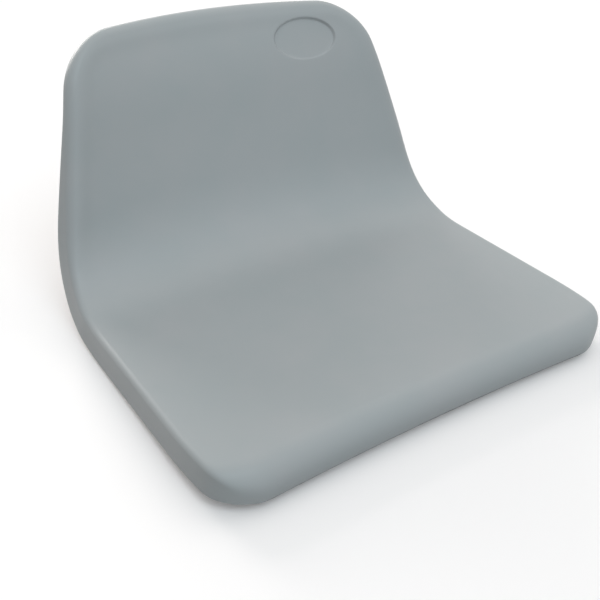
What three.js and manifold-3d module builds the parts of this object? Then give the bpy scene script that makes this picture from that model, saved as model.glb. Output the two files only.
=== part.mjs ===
// Stadium seat: one moulded shell, screwed from below to two folded steel rails.
// Millimetres, +Z up. The sitter faces -Y, and the rails stand on z = 0.
// Left and right are those of a viewer in front of the seat, so left is -X.
import * as THREE from 'three';
import { mergeVertices } from 'three/addons/utils/BufferGeometryUtils.js';
import Module from 'manifold-3d';

const wasm = await Module();
wasm.setup();

// Side profile of the sitting surface, followed from the top edge down to the front edge
const flareLength = 262;      // from the top edge to full width
const straightLength = 179;   // at full width
const frontTaperLength = 89;
const profileLength = flareLength + straightLength + frontTaperLength;
const backTilt = 19.3;        // degrees that the back leans from upright
const topRoll = 17;           // further degrees that its top edge rolls back
const topRollLength = 90;
const bendStart = 145;
const bendLength = 156;
const panRise = 2;            // degrees that the pan climbs towards the front
const noseDrop = 12;          // degrees that the front edge turns down
const noseDropLength = 60;

// Outline of the sitting surface, seen square on
const topHalfWidth = 164.5;
const fullHalfWidth = 224;
const frontHalfWidth = 215;
const flarePower = 1.35;
const topCornerRadius = 43;
const frontCornerRadius = 39;
const topCrown = 18;          // rise of the top edge at its middle
const frontHollow = 5.5;      // how far the front edge falls back at its middle
const edgeReachShare = 0.5;   // share of the length that the crown and the hollow fade over

// Shell wall, dish and turned-down rim
const wall = 4;
const backDish = 18;          // how far the back's side edges stand in front of its middle
const panCrown = 0.9;
const edgeRound = 10;
const noseRound = 26.5;
const topRimDepth = 11;
const sideRimDepth = 31;
const frontRimDepth = 28;
const rimPower = 1.5;
const fullRimShare = 0.6;     // share of the bend by which the rim has its full depth

// Oval number recess near the top of the back
const recessWidth = 74;
const recessHeight = 45;
const recessDepth = 2;
const recessOffset = 95.5;    // from the middle of the seat
const recessStation = 40;     // along the profile from the top edge
const recessTurn = 4;         // degrees, to follow the crowned top edge
const recessChamfer = 2;

// Ribs and bosses under the shell
const ribThickness = 2.6;
const ribDepth = 11;
const innerRibOffset = 56;
const outerRibOffset = 168;
const ribTopStation = 96;
const ribFadeLength = 90;
const crossRibSteps = [-1, 0, 1, 2];   // half boss pitches in front of the rear bosses
const bossDiameter = 24;
const bossHalfSpacing = 110;
const bossPitch = 130;
const rearBossStation = 297;

// Folded steel rails
const railHeight = 15;
const railSteel = 2.5;
const railLength = 230;
const railWebWidth = 34;
const railFlangeWidth = 20;
const bendRadius = 2;
const slotWidth = 9;
const slotLength = 22;
const slotEndDistance = 25;   // from the rail's end to a slot's middle
const rimClearance = 2;       // how far the rim hangs above the rails' feet

// M8 fasteners
const threadDiameter = 8;
const screwLength = 16;
const screwHeadHeight = 5.3;
const screwHeadFlats = 13;
const screwTip = 1;
const washerDiameter = 16;
const washerThickness = 1.6;
const lockWasherDiameter = 14.8;
const lockWasherThickness = 2;
const lockWasherSlit = 1.6;
const insertDiameter = 12;
const insertLength = 12.7;
const insertGroove = 1.2;
const insertLand = 3.2;
const boreSpare = 1.5;        // room above the insert

// Clearances and cuts
const fit = 0.3;              // gap between neighbouring pieces
const holeClearance = 0.5;    // on the radius of a plain screw hole
const overrun = 6;            // how far a cut runs past what it cuts

// Steps of the faceted surfaces
const columns = 18;
const sideRows = 22;
const cornerRows = 4;
const roundSteps = 3;
const profileSteps = 548;
const ribSteps = 18;
const crossSteps = 8;
const circleSides = 20;
const recessSides = 28;
const bendSteps = 3;
const slotSteps = 6;

const radians = THREE.MathUtils.degToRad;
const smoothstep = THREE.MathUtils.smoothstep;
const lerp = THREE.MathUtils.lerp;

// Materials: moulded polypropylene, galvanised steel, zinc-plated steel and brass
const finishes = {
  shell: { color: 0xa3a9aa, roughness: 0.5, metalness: 0 },
  rail: { color: 0xa7abad, roughness: 0.45, metalness: 0.9 },
  zinc: { color: 0xc4c7c9, roughness: 0.3, metalness: 0.95 },
  brass: { color: 0xb8984f, roughness: 0.35, metalness: 0.95 },
};

function piece(name, geometry, finish) {
  const mesh = new THREE.Mesh(geometry, new THREE.MeshStandardMaterial(finishes[finish]));
  mesh.name = name;
  return mesh;
}

// Booleans
function toSolid(geometry) {
  const bare = geometry.clone();
  bare.deleteAttribute('normal');
  bare.deleteAttribute('uv');
  const merged = mergeVertices(bare);
  return new wasm.Manifold(new wasm.Mesh({
    numProp: 3,
    vertProperties: new Float32Array(merged.attributes.position.array),
    triVerts: new Uint32Array(merged.index.array),
  }));
}

function toGeometry(solid) {
  const mesh = solid.getMesh();
  const places = new Float32Array(mesh.vertProperties);
  const corners = new Uint32Array(mesh.triVerts);
  const geometry = new THREE.BufferGeometry();
  geometry.setAttribute('position', new THREE.BufferAttribute(places, mesh.numProp));
  geometry.setIndex(new THREE.BufferAttribute(corners, 1));
  geometry.computeVertexNormals();
  return geometry;
}

function indexedGeometry(points, triangles) {
  const geometry = new THREE.BufferGeometry();
  const numbers = points.flatMap((p) => [p.x, p.y, p.z]);
  geometry.setAttribute('position', new THREE.Float32BufferAttribute(numbers, 3));
  geometry.setIndex(triangles);
  geometry.computeVertexNormals();
  return geometry;
}

// Heading of the profile in degrees: 0 runs straight down, 90 runs forward
function heading(s) {
  const roll = topRoll * (1 - smoothstep(s, 0, topRollLength));
  const bend = (90 + panRise - backTilt) * smoothstep(s, bendStart, bendStart + bendLength);
  const drop = noseDrop * smoothstep(s, profileLength - noseDropLength, profileLength);
  return radians(backTilt + roll + bend - drop);
}

// The profile's line, summed up in short steps from the crown of the top edge
const profileStep = (profileLength + topCrown) / profileSteps;
const profileTable = [{ y: 0, z: 0 }];
for (let i = 0; i < profileSteps; i += 1) {
  const turn = heading((i + 0.5) * profileStep - topCrown);
  const { y, z } = profileTable[i];
  profileTable.push({ y: y - Math.sin(turn) * profileStep, z: z - Math.cos(turn) * profileStep });
}

function profilePoint(s) {
  const place = (s + topCrown) / profileStep;
  const i = THREE.MathUtils.clamp(Math.floor(place), 0, profileSteps - 1);
  const from = profileTable[i];
  const to = profileTable[i + 1];
  return { y: lerp(from.y, to.y, place - i), z: lerp(from.z, to.z, place - i) };
}

function halfWidth(s) {
  const flare = Math.max(1 - s / flareLength, 0) ** flarePower;
  const taper = Math.max((s - profileLength + frontTaperLength) / frontTaperLength, 0) ** 2;
  return fullHalfWidth - (fullHalfWidth - topHalfWidth) * flare - (fullHalfWidth - frontHalfWidth) * taper;
}

// A point under the sitting surface: x across, s along the profile, depth square below the surface
function shellPoint(x, s, depth) {
  const reach = profileLength * edgeReachShare;
  const topFade = Math.max(1 - s / reach, 0) ** 2;
  const frontFade = Math.max((s - profileLength + reach) / reach, 0) ** 2;
  const crown = topCrown * (1 - (x / topHalfWidth) ** 2) * topFade;
  const hollow = frontHollow * (1 - (x / frontHalfWidth) ** 2) * frontFade;
  const along = s - crown - hollow;
  const { y, z } = profilePoint(along);
  const turn = heading(along);
  const across = x / halfWidth(s);
  const dish = lerp(backDish, -panCrown, smoothstep(along, bendStart, bendStart + bendLength));
  const lean = (-2 * dish * across) / halfWidth(s);
  const normalLength = Math.hypot(1, lean);
  const rise = dish * across ** 2 - depth / normalLength;
  const sideways = (lean * depth) / normalLength;
  return new THREE.Vector3(x - sideways, y - Math.cos(turn) * rise, z + Math.sin(turn) * rise);
}

// Rows of the outline from the top edge to the front edge. Inset draws the outline in,
// by one amount along the sides and the top and another along the front.
function outlineRow(row, inset, frontInset) {
  const lastRow = 2 * cornerRows + sideRows;
  const sideEnd = profileLength - frontCornerRadius;
  if (row < cornerRows) {
    const turn = (Math.PI / 2) * (1 - row / cornerRows);
    const radius = topCornerRadius - inset;
    const s = topCornerRadius - radius * Math.sin(turn);
    return { s, half: halfWidth(s) - inset - radius * (1 - Math.cos(turn)), nose: 0 };
  }
  if (row > lastRow - cornerRows) {
    const turn = (Math.PI / 2) * (1 - (lastRow - row) / cornerRows);
    const s = sideEnd + (frontCornerRadius - frontInset) * Math.sin(turn);
    const half = halfWidth(s) - inset - (frontCornerRadius - inset) * (1 - Math.cos(turn));
    return { s, half, nose: smoothstep(Math.sin(turn) ** 2, 0, 1) };
  }
  const s = lerp(topCornerRadius, sideEnd, (row - cornerRows) / sideRows);
  return { s, half: halfWidth(s) - inset, nose: 0 };
}

function rimDepth(s) {
  const fullAt = bendStart + bendLength * fullRimShare;
  const growth = Math.min(s / fullAt, 1) ** rimPower;
  const fade = smoothstep(s, fullAt, profileLength);
  return lerp(topRimDepth, sideRimDepth, growth) - (sideRimDepth - frontRimDepth) * fade;
}

// Closed body that fills the seat from a skin this far inside its surface down to the rim's
// lower edge, plus extra
function filledSeat(skin, extra) {
  const rows = 2 * cornerRows + sideRows;
  const points = [];
  const triangles = [];
  const quad = (a, b, c, d) => triangles.push(a, b, c, a, c, d);

  function layer(turn, depthOf) {
    const inset = edgeRound - (edgeRound - skin) * Math.sin(turn);
    const frontInset = noseRound - (noseRound - skin) * Math.sin(turn);
    return (row, column) => {
      const { s, half, nose } = outlineRow(row, inset, frontInset);
      const round = lerp(edgeRound, noseRound, nose);
      points.push(shellPoint(half * ((2 * column) / columns - 1), s, depthOf(s, round)));
      return points.length - 1;
    };
  }

  function grid(at, flipped) {
    const index = [];
    for (let row = 0; row <= rows; row += 1) {
      index.push(Array.from({ length: columns + 1 }, (_, column) => at(row, column)));
    }
    for (let row = 0; row < rows; row += 1) {
      for (let column = 0; column < columns; column += 1) {
        const [here, below] = [index[row], index[row + 1]];
        const corners = [here[column], below[column], below[column + 1], here[column + 1]];
        quad(...(flipped ? corners.reverse() : corners));
      }
    }
    return rimOf((row, column) => index[row][column]);
  }

  // The edge of a layer as one loop, down the left side and back up the right
  function rimOf(at) {
    const loop = [];
    for (let row = 0; row < rows; row += 1) loop.push(at(row, 0));
    for (let column = 0; column < columns; column += 1) loop.push(at(rows, column));
    for (let row = rows; row > 0; row -= 1) loop.push(at(row, columns));
    for (let column = columns; column > 0; column -= 1) loop.push(at(0, column));
    return loop;
  }

  const quarter = Math.PI / 2;
  const loops = [grid(layer(0, () => skin), false)];
  for (let step = 1; step <= roundSteps; step += 1) {
    const turn = (quarter * step) / roundSteps;
    loops.push(rimOf(layer(turn, (s, round) => round - (round - skin) * Math.cos(turn))));
  }
  const lowest = (s, round) => Math.max(rimDepth(s), round) + extra;
  loops.push(grid(layer(quarter, lowest), true));
  for (let ring = 1; ring < loops.length; ring += 1) {
    const [upper, lower] = [loops[ring - 1], loops[ring]];
    upper.forEach((_, i) => {
      const next = (i + 1) % upper.length;
      quad(upper[i], lower[i], lower[next], upper[next]);
    });
  }
  return toSolid(indexedGeometry(points, triangles));
}

// Where the rim lies, so that the part can be set over its origin
const outerBody = filledSeat(0, 0);
const outerBox = outerBody.boundingBox();
const lift = rimClearance - outerBox.min[2];
const shift = -(outerBox.min[1] + outerBox.max[1]) / 2;

// Closed slab between an upper and a lower line, thick on both sides of them
function slab(upper, lower, half) {
  const points = [];
  upper.forEach((top, i) => {
    const low = lower[i];
    points.push(top.clone().sub(half), top.clone().add(half), low.clone().add(half), low.clone().sub(half));
  });
  const triangles = [0, 1, 2, 0, 2, 3];
  const last = points.length - 4;
  triangles.push(last, last + 2, last + 1, last, last + 3, last + 2);
  for (let start = 0; start < last; start += 4) {
    for (let side = 0; side < 4; side += 1) {
      const [a, b] = [start + side, start + ((side + 1) % 4)];
      triangles.push(a, a + 4, b + 4, a, b + 4, b);
    }
  }
  return toSolid(indexedGeometry(points, triangles));
}

// Rib along the profile at one offset, fading into the wall behind the back
function longRib(offset) {
  const upper = [];
  const lower = [];
  const end = profileLength - noseRound;
  for (let i = 0; i <= ribSteps; i += 1) {
    const s = lerp(ribTopStation, end, i / ribSteps);
    const depth = ribDepth * smoothstep(s, ribTopStation, ribTopStation + ribFadeLength);
    upper.push(shellPoint(offset, s, wall / 4).setX(offset));
    lower.push(shellPoint(offset, s, wall + depth).setX(offset));
  }
  return slab(upper, lower, new THREE.Vector3(ribThickness / 2, 0, 0));
}

// Rib across the seat at one station of the profile
function crossRib(s) {
  const upper = [];
  const lower = [];
  const end = halfWidth(s) - wall / 2;
  for (let i = 0; i <= crossSteps; i += 1) {
    const x = lerp(-end, end, i / crossSteps);
    upper.push(shellPoint(x, s, wall / 4));
    lower.push(shellPoint(x, s, wall + ribDepth));
  }
  const turn = heading(s);
  const half = new THREE.Vector3(0, Math.sin(turn), Math.cos(turn)).multiplyScalar(ribThickness / 2);
  return slab(upper, lower, half);
}

// Upright round bar, or a tapered one where its foot and top differ
function taperedBar(footRadius, topRadius, fromZ, toZ, x, y, sides = circleSides) {
  const geometry = new THREE.CylinderGeometry(topRadius, footRadius, toZ - fromZ, sides);
  geometry.rotateX(Math.PI / 2);
  geometry.translate(x, y, (fromZ + toZ) / 2);
  return toSolid(geometry);
}

function bar(radius, fromZ, toZ, x, y, sides) {
  return taperedBar(radius, radius, fromZ, toZ, x, y, sides);
}

// Oval body square to the back at the number recess, from its mouth to its floor.
// Each end is given as half its width, half its height and its depth below the surface.
function recessOval(mouth, floor) {
  const oval = new THREE.CylinderGeometry(1, 1, 1, recessSides);
  const place = oval.attributes.position;
  for (let i = 0; i < place.count; i += 1) {
    const [across, along, depth] = place.getY(i) > 0 ? mouth : floor;
    place.setXYZ(i, place.getX(i) * across, -depth, place.getZ(i) * along);
  }
  const { centre, basis } = recessFrame();
  oval.rotateY(-radians(recessTurn)).applyMatrix4(basis).translate(centre.x, centre.y, centre.z);
  return toSolid(oval);
}

// Middle of the recess on the surface, with Y square out of the back
function recessFrame() {
  const centre = shellPoint(recessOffset, recessStation, 0);
  const outward = centre.clone().sub(shellPoint(recessOffset, recessStation, wall)).normalize();
  const across = new THREE.Vector3(1, 0, 0);
  const along = across.clone().cross(outward).normalize();
  across.crossVectors(outward, along);
  return { centre, basis: new THREE.Matrix4().makeBasis(across, outward, along) };
}

// Screw places, in the part's frame
const panMiddle = profilePoint(rearBossStation).y + shift - bossPitch / 2;
const screwPlaces = [];
for (const [end, side] of [['front', 'left'], ['front', 'right'], ['rear', 'left'], ['rear', 'right']]) {
  const x = side === 'left' ? -bossHalfSpacing : bossHalfSpacing;
  const y = panMiddle + (end === 'front' ? -bossPitch / 2 : bossPitch / 2);
  screwPlaces.push({ name: `${end}_${side}`, x, y });
}

// Everything that stands on the inside of the wall, cut to the middle of the wall
function moulding(bossFoot) {
  const across = recessWidth / 2 + wall;
  const along = recessHeight / 2 + wall;
  const recessPad = recessOval([across, along, wall / 2], [across, along, wall + recessDepth]);
  const longRibs = [-outerRibOffset, -innerRibOffset, innerRibOffset, outerRibOffset].map(longRib);
  const crossRibs = crossRibSteps.map((step) => crossRib(rearBossStation + (step * bossPitch) / 2));
  const bossTop = bossFoot + sideRimDepth;
  const bosses = screwPlaces.map(({ x, y }) => bar(bossDiameter / 2, bossFoot, bossTop, x, y - shift));
  const all = wasm.Manifold.union([recessPad, ...longRibs, ...crossRibs, ...bosses]);
  return all.intersect(filledSeat(wall / 2, 0));
}

// The chamfered cut of the number recess, widening as it leaves the surface
function recessCut() {
  const across = recessWidth / 2;
  const along = recessHeight / 2;
  const spread = recessChamfer / recessDepth * overrun;
  return recessOval(
    [across + spread, along + spread, -overrun],
    [across - recessChamfer, along - recessChamfer, recessDepth],
  );
}

// The moulded shell with its ribs, bosses and number recess
function seatShell() {
  const bossFoot = railHeight + fit - lift;
  const boreTop = bossFoot + insertLength + boreSpare;
  const skin = outerBody.subtract(filledSeat(wall, overrun));
  let shell = skin.add(moulding(bossFoot)).subtract(recessCut());
  for (const { x, y } of screwPlaces) {
    shell = shell.subtract(bar(insertDiameter / 2 + fit, bossFoot - overrun, boreTop, x, y - shift));
  }
  return toGeometry(shell).translate(0, shift, lift);
}

// Outline with rounded corners, each given as [x, y, radius]
function roundedShape(corners) {
  const shape = new THREE.Shape();
  corners.forEach(([x, y, radius], i) => {
    const corner = new THREE.Vector2(x, y);
    const toward = (j) => {
      const [px, py] = corners[(j + corners.length) % corners.length];
      return new THREE.Vector2(px, py).sub(corner).setLength(radius).add(corner);
    };
    const from = toward(i - 1);
    const to = toward(i + 1);
    if (i === 0) shape.moveTo(from.x, from.y);
    else shape.lineTo(from.x, from.y);
    if (radius > 0) shape.quadraticCurveTo(x, y, to.x, to.y);
  });
  return shape;
}

function slotCut(x, y) {
  const radius = slotWidth / 2;
  const reach = (slotLength - slotWidth) / 2;
  const shape = new THREE.Shape();
  shape.absarc(x, y + reach, radius, 0, Math.PI, false);
  shape.absarc(x, y - reach, radius, Math.PI, 2 * Math.PI, false);
  const options = { depth: railSteel + 2 * overrun, bevelEnabled: false, curveSegments: slotSteps };
  return toSolid(new THREE.ExtrudeGeometry(shape, options).translate(0, 0, -overrun));
}

// Folded hat-section rail, with slotted flanges and two screw holes in its web
function mountingRail(side) {
  const web = railWebWidth / 2;
  const foot = web + railFlangeWidth;
  const inside = web - railSteel;
  const outerBend = bendRadius + railSteel;
  const half = [
    [foot, 0, 0],
    [foot, railSteel, 0],
    [web, railSteel, bendRadius],
    [web, railHeight, outerBend],
  ];
  const under = [
    [inside, railHeight - railSteel, bendRadius],
    [inside, 0, outerBend],
  ];
  const mirrored = (corners) => corners.map(([x, z, radius]) => [-x, z, radius]).reverse();
  const section = roundedShape([...half, ...mirrored(half), ...mirrored(under), ...under]);
  const options = { depth: railLength, bevelEnabled: false, curveSegments: bendSteps };
  const strip = new THREE.ExtrudeGeometry(section, options);
  strip.rotateX(Math.PI / 2);
  const middle = side * bossHalfSpacing;
  strip.translate(middle, panMiddle + railLength / 2, 0);
  let rail = toSolid(strip);
  const slotOffset = (foot + web + bendRadius) / 2;
  const slotReach = railLength / 2 - slotEndDistance;
  for (const [across, along] of [[-1, -1], [-1, 1], [1, -1], [1, 1]]) {
    rail = rail.subtract(slotCut(middle + across * slotOffset, panMiddle + along * slotReach));
  }
  for (const { x, y } of screwPlaces) {
    rail = rail.subtract(bar(threadDiameter / 2 + holeClearance, -overrun, railHeight + overrun, x, y));
  }
  return toGeometry(rail);
}

// The stack under the rail's web, from the web downwards
const webUnderside = railHeight - railSteel;
const washerTop = webUnderside - fit;
const lockWasherTop = washerTop - washerThickness - fit;
const headTop = lockWasherTop - lockWasherThickness - fit;

function screw({ x, y }) {
  const cornerRadius = screwHeadFlats / 2 / Math.cos(Math.PI / 6);
  const radius = threadDiameter / 2 - fit;
  const tipFoot = headTop + screwLength - screwTip;
  const head = bar(cornerRadius, headTop - screwHeadHeight, headTop, x, y, 6);
  const shank = bar(radius, headTop - screwTip, tipFoot, x, y);
  const tip = taperedBar(radius, radius - screwTip, tipFoot, tipFoot + screwTip, x, y);
  return toGeometry(head.add(shank).add(tip));
}

function ring(outerRadius, innerRadius, top, thickness, { x, y }) {
  const outer = bar(outerRadius, top - thickness, top, x, y);
  return outer.subtract(bar(innerRadius, top - thickness - overrun, top + overrun, x, y));
}

function washer(place) {
  const hole = threadDiameter / 2 + holeClearance;
  return toGeometry(ring(washerDiameter / 2, hole, washerTop, washerThickness, place));
}

// Spring lock washer: a ring with one slit
function lockWasher(place) {
  const hole = threadDiameter / 2 + fit;
  const whole = ring(lockWasherDiameter / 2, hole, lockWasherTop, lockWasherThickness, place);
  const slit = new THREE.BoxGeometry(lockWasherDiameter, lockWasherSlit, lockWasherThickness + 2 * overrun);
  slit.translate(place.x + lockWasherDiameter / 2, place.y, lockWasherTop);
  return toGeometry(whole.subtract(toSolid(slit)));
}

// Threaded brass insert with a groove between its two knurled lands
function insert(place) {
  const top = railHeight + fit + insertLength;
  const body = ring(insertDiameter / 2, threadDiameter / 2, top, insertLength, place);
  const bottomOfGroove = insertDiameter / 2 - insertGroove;
  const grooveLength = insertLength - 2 * insertLand;
  const groove = ring(insertDiameter / 2 + overrun, bottomOfGroove, top - insertLand, grooveLength, place);
  return toGeometry(body.subtract(groove));
}

const seat = new THREE.Group();
seat.add(piece('seat_shell', seatShell(), 'shell'));
seat.add(piece('mounting_rail_left', mountingRail(-1), 'rail'));
seat.add(piece('mounting_rail_right', mountingRail(1), 'rail'));
for (const place of screwPlaces) {
  seat.add(piece(`threaded_insert_${place.name}`, insert(place), 'brass'));
  seat.add(piece(`rail_screw_${place.name}`, screw(place), 'zinc'));
  seat.add(piece(`flat_washer_${place.name}`, washer(place), 'zinc'));
  seat.add(piece(`lock_washer_${place.name}`, lockWasher(place), 'zinc'));
}

export default seat;
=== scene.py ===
import math
import bpy
import numpy as np
from mathutils import Matrix, Vector


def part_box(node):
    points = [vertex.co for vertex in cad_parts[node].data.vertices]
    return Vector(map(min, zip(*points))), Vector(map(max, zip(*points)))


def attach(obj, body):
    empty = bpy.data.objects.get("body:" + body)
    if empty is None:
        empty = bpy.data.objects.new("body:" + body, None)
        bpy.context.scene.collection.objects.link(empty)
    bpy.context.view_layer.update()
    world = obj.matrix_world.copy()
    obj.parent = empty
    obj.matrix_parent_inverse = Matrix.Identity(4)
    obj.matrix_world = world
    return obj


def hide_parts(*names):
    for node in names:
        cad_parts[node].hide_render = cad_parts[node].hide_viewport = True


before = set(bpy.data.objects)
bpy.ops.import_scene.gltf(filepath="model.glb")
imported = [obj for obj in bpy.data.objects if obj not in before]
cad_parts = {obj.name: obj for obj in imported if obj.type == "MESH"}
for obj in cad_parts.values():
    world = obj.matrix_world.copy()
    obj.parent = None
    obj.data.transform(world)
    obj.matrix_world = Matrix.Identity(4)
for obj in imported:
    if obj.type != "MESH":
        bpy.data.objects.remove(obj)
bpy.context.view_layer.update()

# Stadium seat: one light grey moulded shell on two folded steel rails, on a white floor.
# Lengths in the dictionaries are millimetres, angles are degrees.
mm = 0.001
weldDistance = 0.001       # points this close are joined
touch = 0.01               # places this close count as the same
sharpAngle = 40            # edges sharper than this are eased
quarterTurn = math.pi / 2
upwards = Vector((0, 0, 1))


# small tools that every piece uses

def selectOnly(piece):
    for other in bpy.context.selected_objects:
        other.select_set(False)
    piece.select_set(True)
    bpy.context.view_layer.objects.active = piece


# opens edit mode with the wanted vertices, edges or faces selected
def pick(piece, kind, wanted):
    selectOnly(piece)
    mesh = piece.data
    kinds = {"VERT": mesh.vertices, "EDGE": mesh.edges, "FACE": mesh.polygons}
    for group in kinds.values():
        group.foreach_set("select", np.zeros(len(group), bool))
    group = kinds[kind]
    group.foreach_set("select", np.asarray(wanted, bool))
    if kind != "VERT":
        corners = np.zeros(len(mesh.vertices), bool)
        for index in np.flatnonzero(wanted):
            corners[list(group[index].vertices)] = True
        mesh.vertices.foreach_set("select", corners)
    bpy.context.tool_settings.mesh_select_mode = [kind == name for name in kinds]
    bpy.ops.object.mode_set(mode="EDIT")


def pickAll(piece):
    pick(piece, "FACE", np.ones(len(piece.data.polygons), bool))


def leaveEdit():
    bpy.ops.object.mode_set(mode="OBJECT")


def readPoints(piece):
    flat = np.empty(len(piece.data.vertices) * 3, np.float32)
    piece.data.vertices.foreach_get("co", flat)
    return flat.reshape(-1, 3).astype(float)


def writePoints(piece, points):
    piece.data.vertices.foreach_set("co", np.asarray(points, np.float32).ravel())
    piece.data.update()


# the two vertices of each edge
def edgeEnds(piece):
    return np.array([edge.vertices[:] for edge in piece.data.edges])


# puts the selected vertices where placesOf says, and tells which they are
def moveSelected(piece, placesOf):
    chosen, points = np.empty(len(piece.data.vertices), bool), readPoints(piece)
    piece.data.vertices.foreach_get("select", chosen)
    points[chosen] = placesOf(chosen)
    writePoints(piece, points)
    return chosen


# names a new primitive and puts its place into its mesh
def started(name):
    piece = bpy.context.object
    piece.name = piece.data.name = name
    piece.data.transform(piece.matrix_basis)
    piece.matrix_basis = Matrix.Identity(4)
    return piece


def applied(piece, kind, **settings):
    selectOnly(piece)
    modifier = piece.modifiers.new(kind.lower(), kind)
    for key, value in settings.items():
        setattr(modifier, key, value)
    bpy.ops.object.modifier_apply(modifier=modifier.name)


# joins, cuts or trims a piece with another one, which is used up
def combine(piece, tool, operation):
    applied(piece, "BOOLEAN", operation=operation, object=tool, solver="MANIFOLD")
    bpy.data.objects.remove(tool)


def smooth(piece, angle):
    selectOnly(piece)
    bpy.ops.object.shade_smooth_by_angle(angle=math.radians(angle))


# eases a piece's sharp edges and shades it, by its own dictionary
def eased(piece, values):
    pick(piece, "EDGE", np.zeros(len(piece.data.edges), bool))
    bpy.ops.mesh.edges_select_sharp(sharpness=math.radians(sharpAngle))
    bpy.ops.mesh.bevel(offset=values["edge"] * mm, segments=2, affect="EDGES", clamp_overlap=True)
    leaveEdit()
    smooth(piece, values["smoothAngle"])


# rounds the outline of the chosen faces
def roundOutline(piece, faces, width, segments):
    pick(piece, "FACE", faces)
    bpy.ops.mesh.region_to_loop()
    bpy.ops.mesh.bevel(offset=width * mm, segments=segments, affect="EDGES")
    leaveEdit()


# which faces look nearly straight along a direction
def facing(piece, direction):
    closest = 0.9          # cosine of about 25 degrees
    return np.array([face.normal @ direction > closest for face in piece.data.polygons])


def recalculated(piece):
    pickAll(piece)
    bpy.ops.mesh.remove_doubles(threshold=weldDistance * mm)
    bpy.ops.mesh.delete_loose()
    bpy.ops.mesh.select_all(action="SELECT")
    bpy.ops.mesh.normals_make_consistent(inside=False)
    leaveEdit()


def finished(piece, material, slot, *nodes):
    piece.data.materials.clear()
    piece.data.materials.append(material)
    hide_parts(*nodes)
    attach(piece, "root")


def copied(piece, name, offset):
    twin = piece.copy()
    twin.data = piece.data.copy()
    twin.name = twin.data.name = name
    bpy.context.scene.collection.objects.link(twin)
    twin.data.transform(Matrix.Translation(offset))
    return twin


# turns an sRGB colour written in hex into Blender's linear values
def colour(hexCode):
    channels = [int(hexCode[i:i + 2], 16) / 255 for i in (1, 3, 5)]
    linear = [c / 12.92 if c <= 0.04045 else ((c + 0.055) / 1.055) ** 2.4 for c in channels]
    return (*linear, 1)


# adds one node; a socket as a value makes a link
def addNode(tree, kind, inputs=None, **settings):
    node = tree.nodes.new("ShaderNode" + kind)
    for key, value in settings.items():
        setattr(node, key, value)
    for key, value in (inputs or {}).items():
        if isinstance(value, bpy.types.NodeSocket):
            tree.links.new(value, node.inputs[key])
        else:
            node.inputs[key].default_value = value
    return node


def newMaterial(name, **shaderValues):
    material = bpy.data.materials.new(name)
    material.use_nodes = True
    tree = material.node_tree
    shader = tree.nodes["Principled BSDF"]
    for key, value in shaderValues.items():
        shader.inputs[key].default_value = value
    place = addNode(tree, "TexCoord").outputs["Object"]
    return material, tree, shader, place


# leads a material's patterns into its shader
def wired(tree, shader, **outputs):
    for key, output in outputs.items():
        tree.links.new(output, shader.inputs[key.replace("_", " ")])


# how many pattern cells of this size go into one metre
def perMetre(size):
    return 1 / (size * mm)


noiseLow, noiseHigh = 0.3, 0.7     # a noise texture's usual limits
bandsPerScale = 3.15               # bands of a wave texture on one metre at a scale of 1

plastic = {
    "paleShade": "#a4a7a8",
    "deepShade": "#a0a5a6",
    "mottleSize": 60,      # faint clouds in the pigment
    "grainSize": 1.1,      # spark-eroded grain, really about 0.3, drawn coarser so that it shows
    "grainHeight": 0.018,
    "smoothest": 0.4,      # roughness beside the grains
    "roughest": 0.49,      # and on them
    "flowSize": 9,         # faint unevenness of the polished mould
    "flowHeight": 0.02,
}


# Injection-moulded polypropylene: satin, slightly waxy, even grey with a fine grain
def makePlastic(values):
    material, tree, shader, place = newMaterial("moulded polypropylene", IOR=1.49)
    mottle = addNode(tree, "TexNoise", {
        "Vector": place, "Scale": perMetre(values["mottleSize"]), "Detail": 3, "Roughness": 0.55})
    tint = addNode(tree, "ValToRGB", {"Fac": mottle.outputs["Fac"]})
    tint.color_ramp.elements[0].position = noiseLow
    tint.color_ramp.elements[0].color = colour(values["deepShade"])
    tint.color_ramp.elements[1].position = noiseHigh
    tint.color_ramp.elements[1].color = colour(values["paleShade"])
    grain = addNode(tree, "TexNoise", {
        "Vector": place, "Scale": perMetre(values["grainSize"]), "Roughness": 0.6})
    flow = addNode(tree, "TexNoise", {
        "Vector": place, "Scale": perMetre(values["flowSize"]), "Detail": 1, "Roughness": 0.4})
    sheen = addNode(tree, "MapRange", {
        "Value": grain.outputs["Fac"], "From Min": noiseLow, "From Max": noiseHigh,
        "To Min": values["smoothest"], "To Max": values["roughest"]})
    wave = addNode(tree, "Bump", {"Height": flow.outputs["Fac"], "Distance": values["flowHeight"] * mm})
    skin = addNode(tree, "Bump", {
        "Height": grain.outputs["Fac"], "Distance": values["grainHeight"] * mm,
        "Normal": wave.outputs["Normal"]})
    wired(tree, shader, Base_Color=tint.outputs["Color"], Roughness=sheen.outputs["Result"],
          Normal=skin.outputs["Normal"])
    return material


galvanised = {
    "paleShade": "#c6cbcd",
    "deepShade": "#a2a9ac",
    "spangleSize": 9,      # one zinc crystal
    "driftSize": 14.4,     # unevenness that bends the crystals' outlines
    "spangleWarp": 6,
    "smoothest": 0.36,     # roughness of the brightest crystal
    "roughest": 0.54,      # and of the dullest
    "bloomSize": 1.5,      # the dull, slightly rough zinc skin
    "bloomHeight": 0.02,
}


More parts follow.
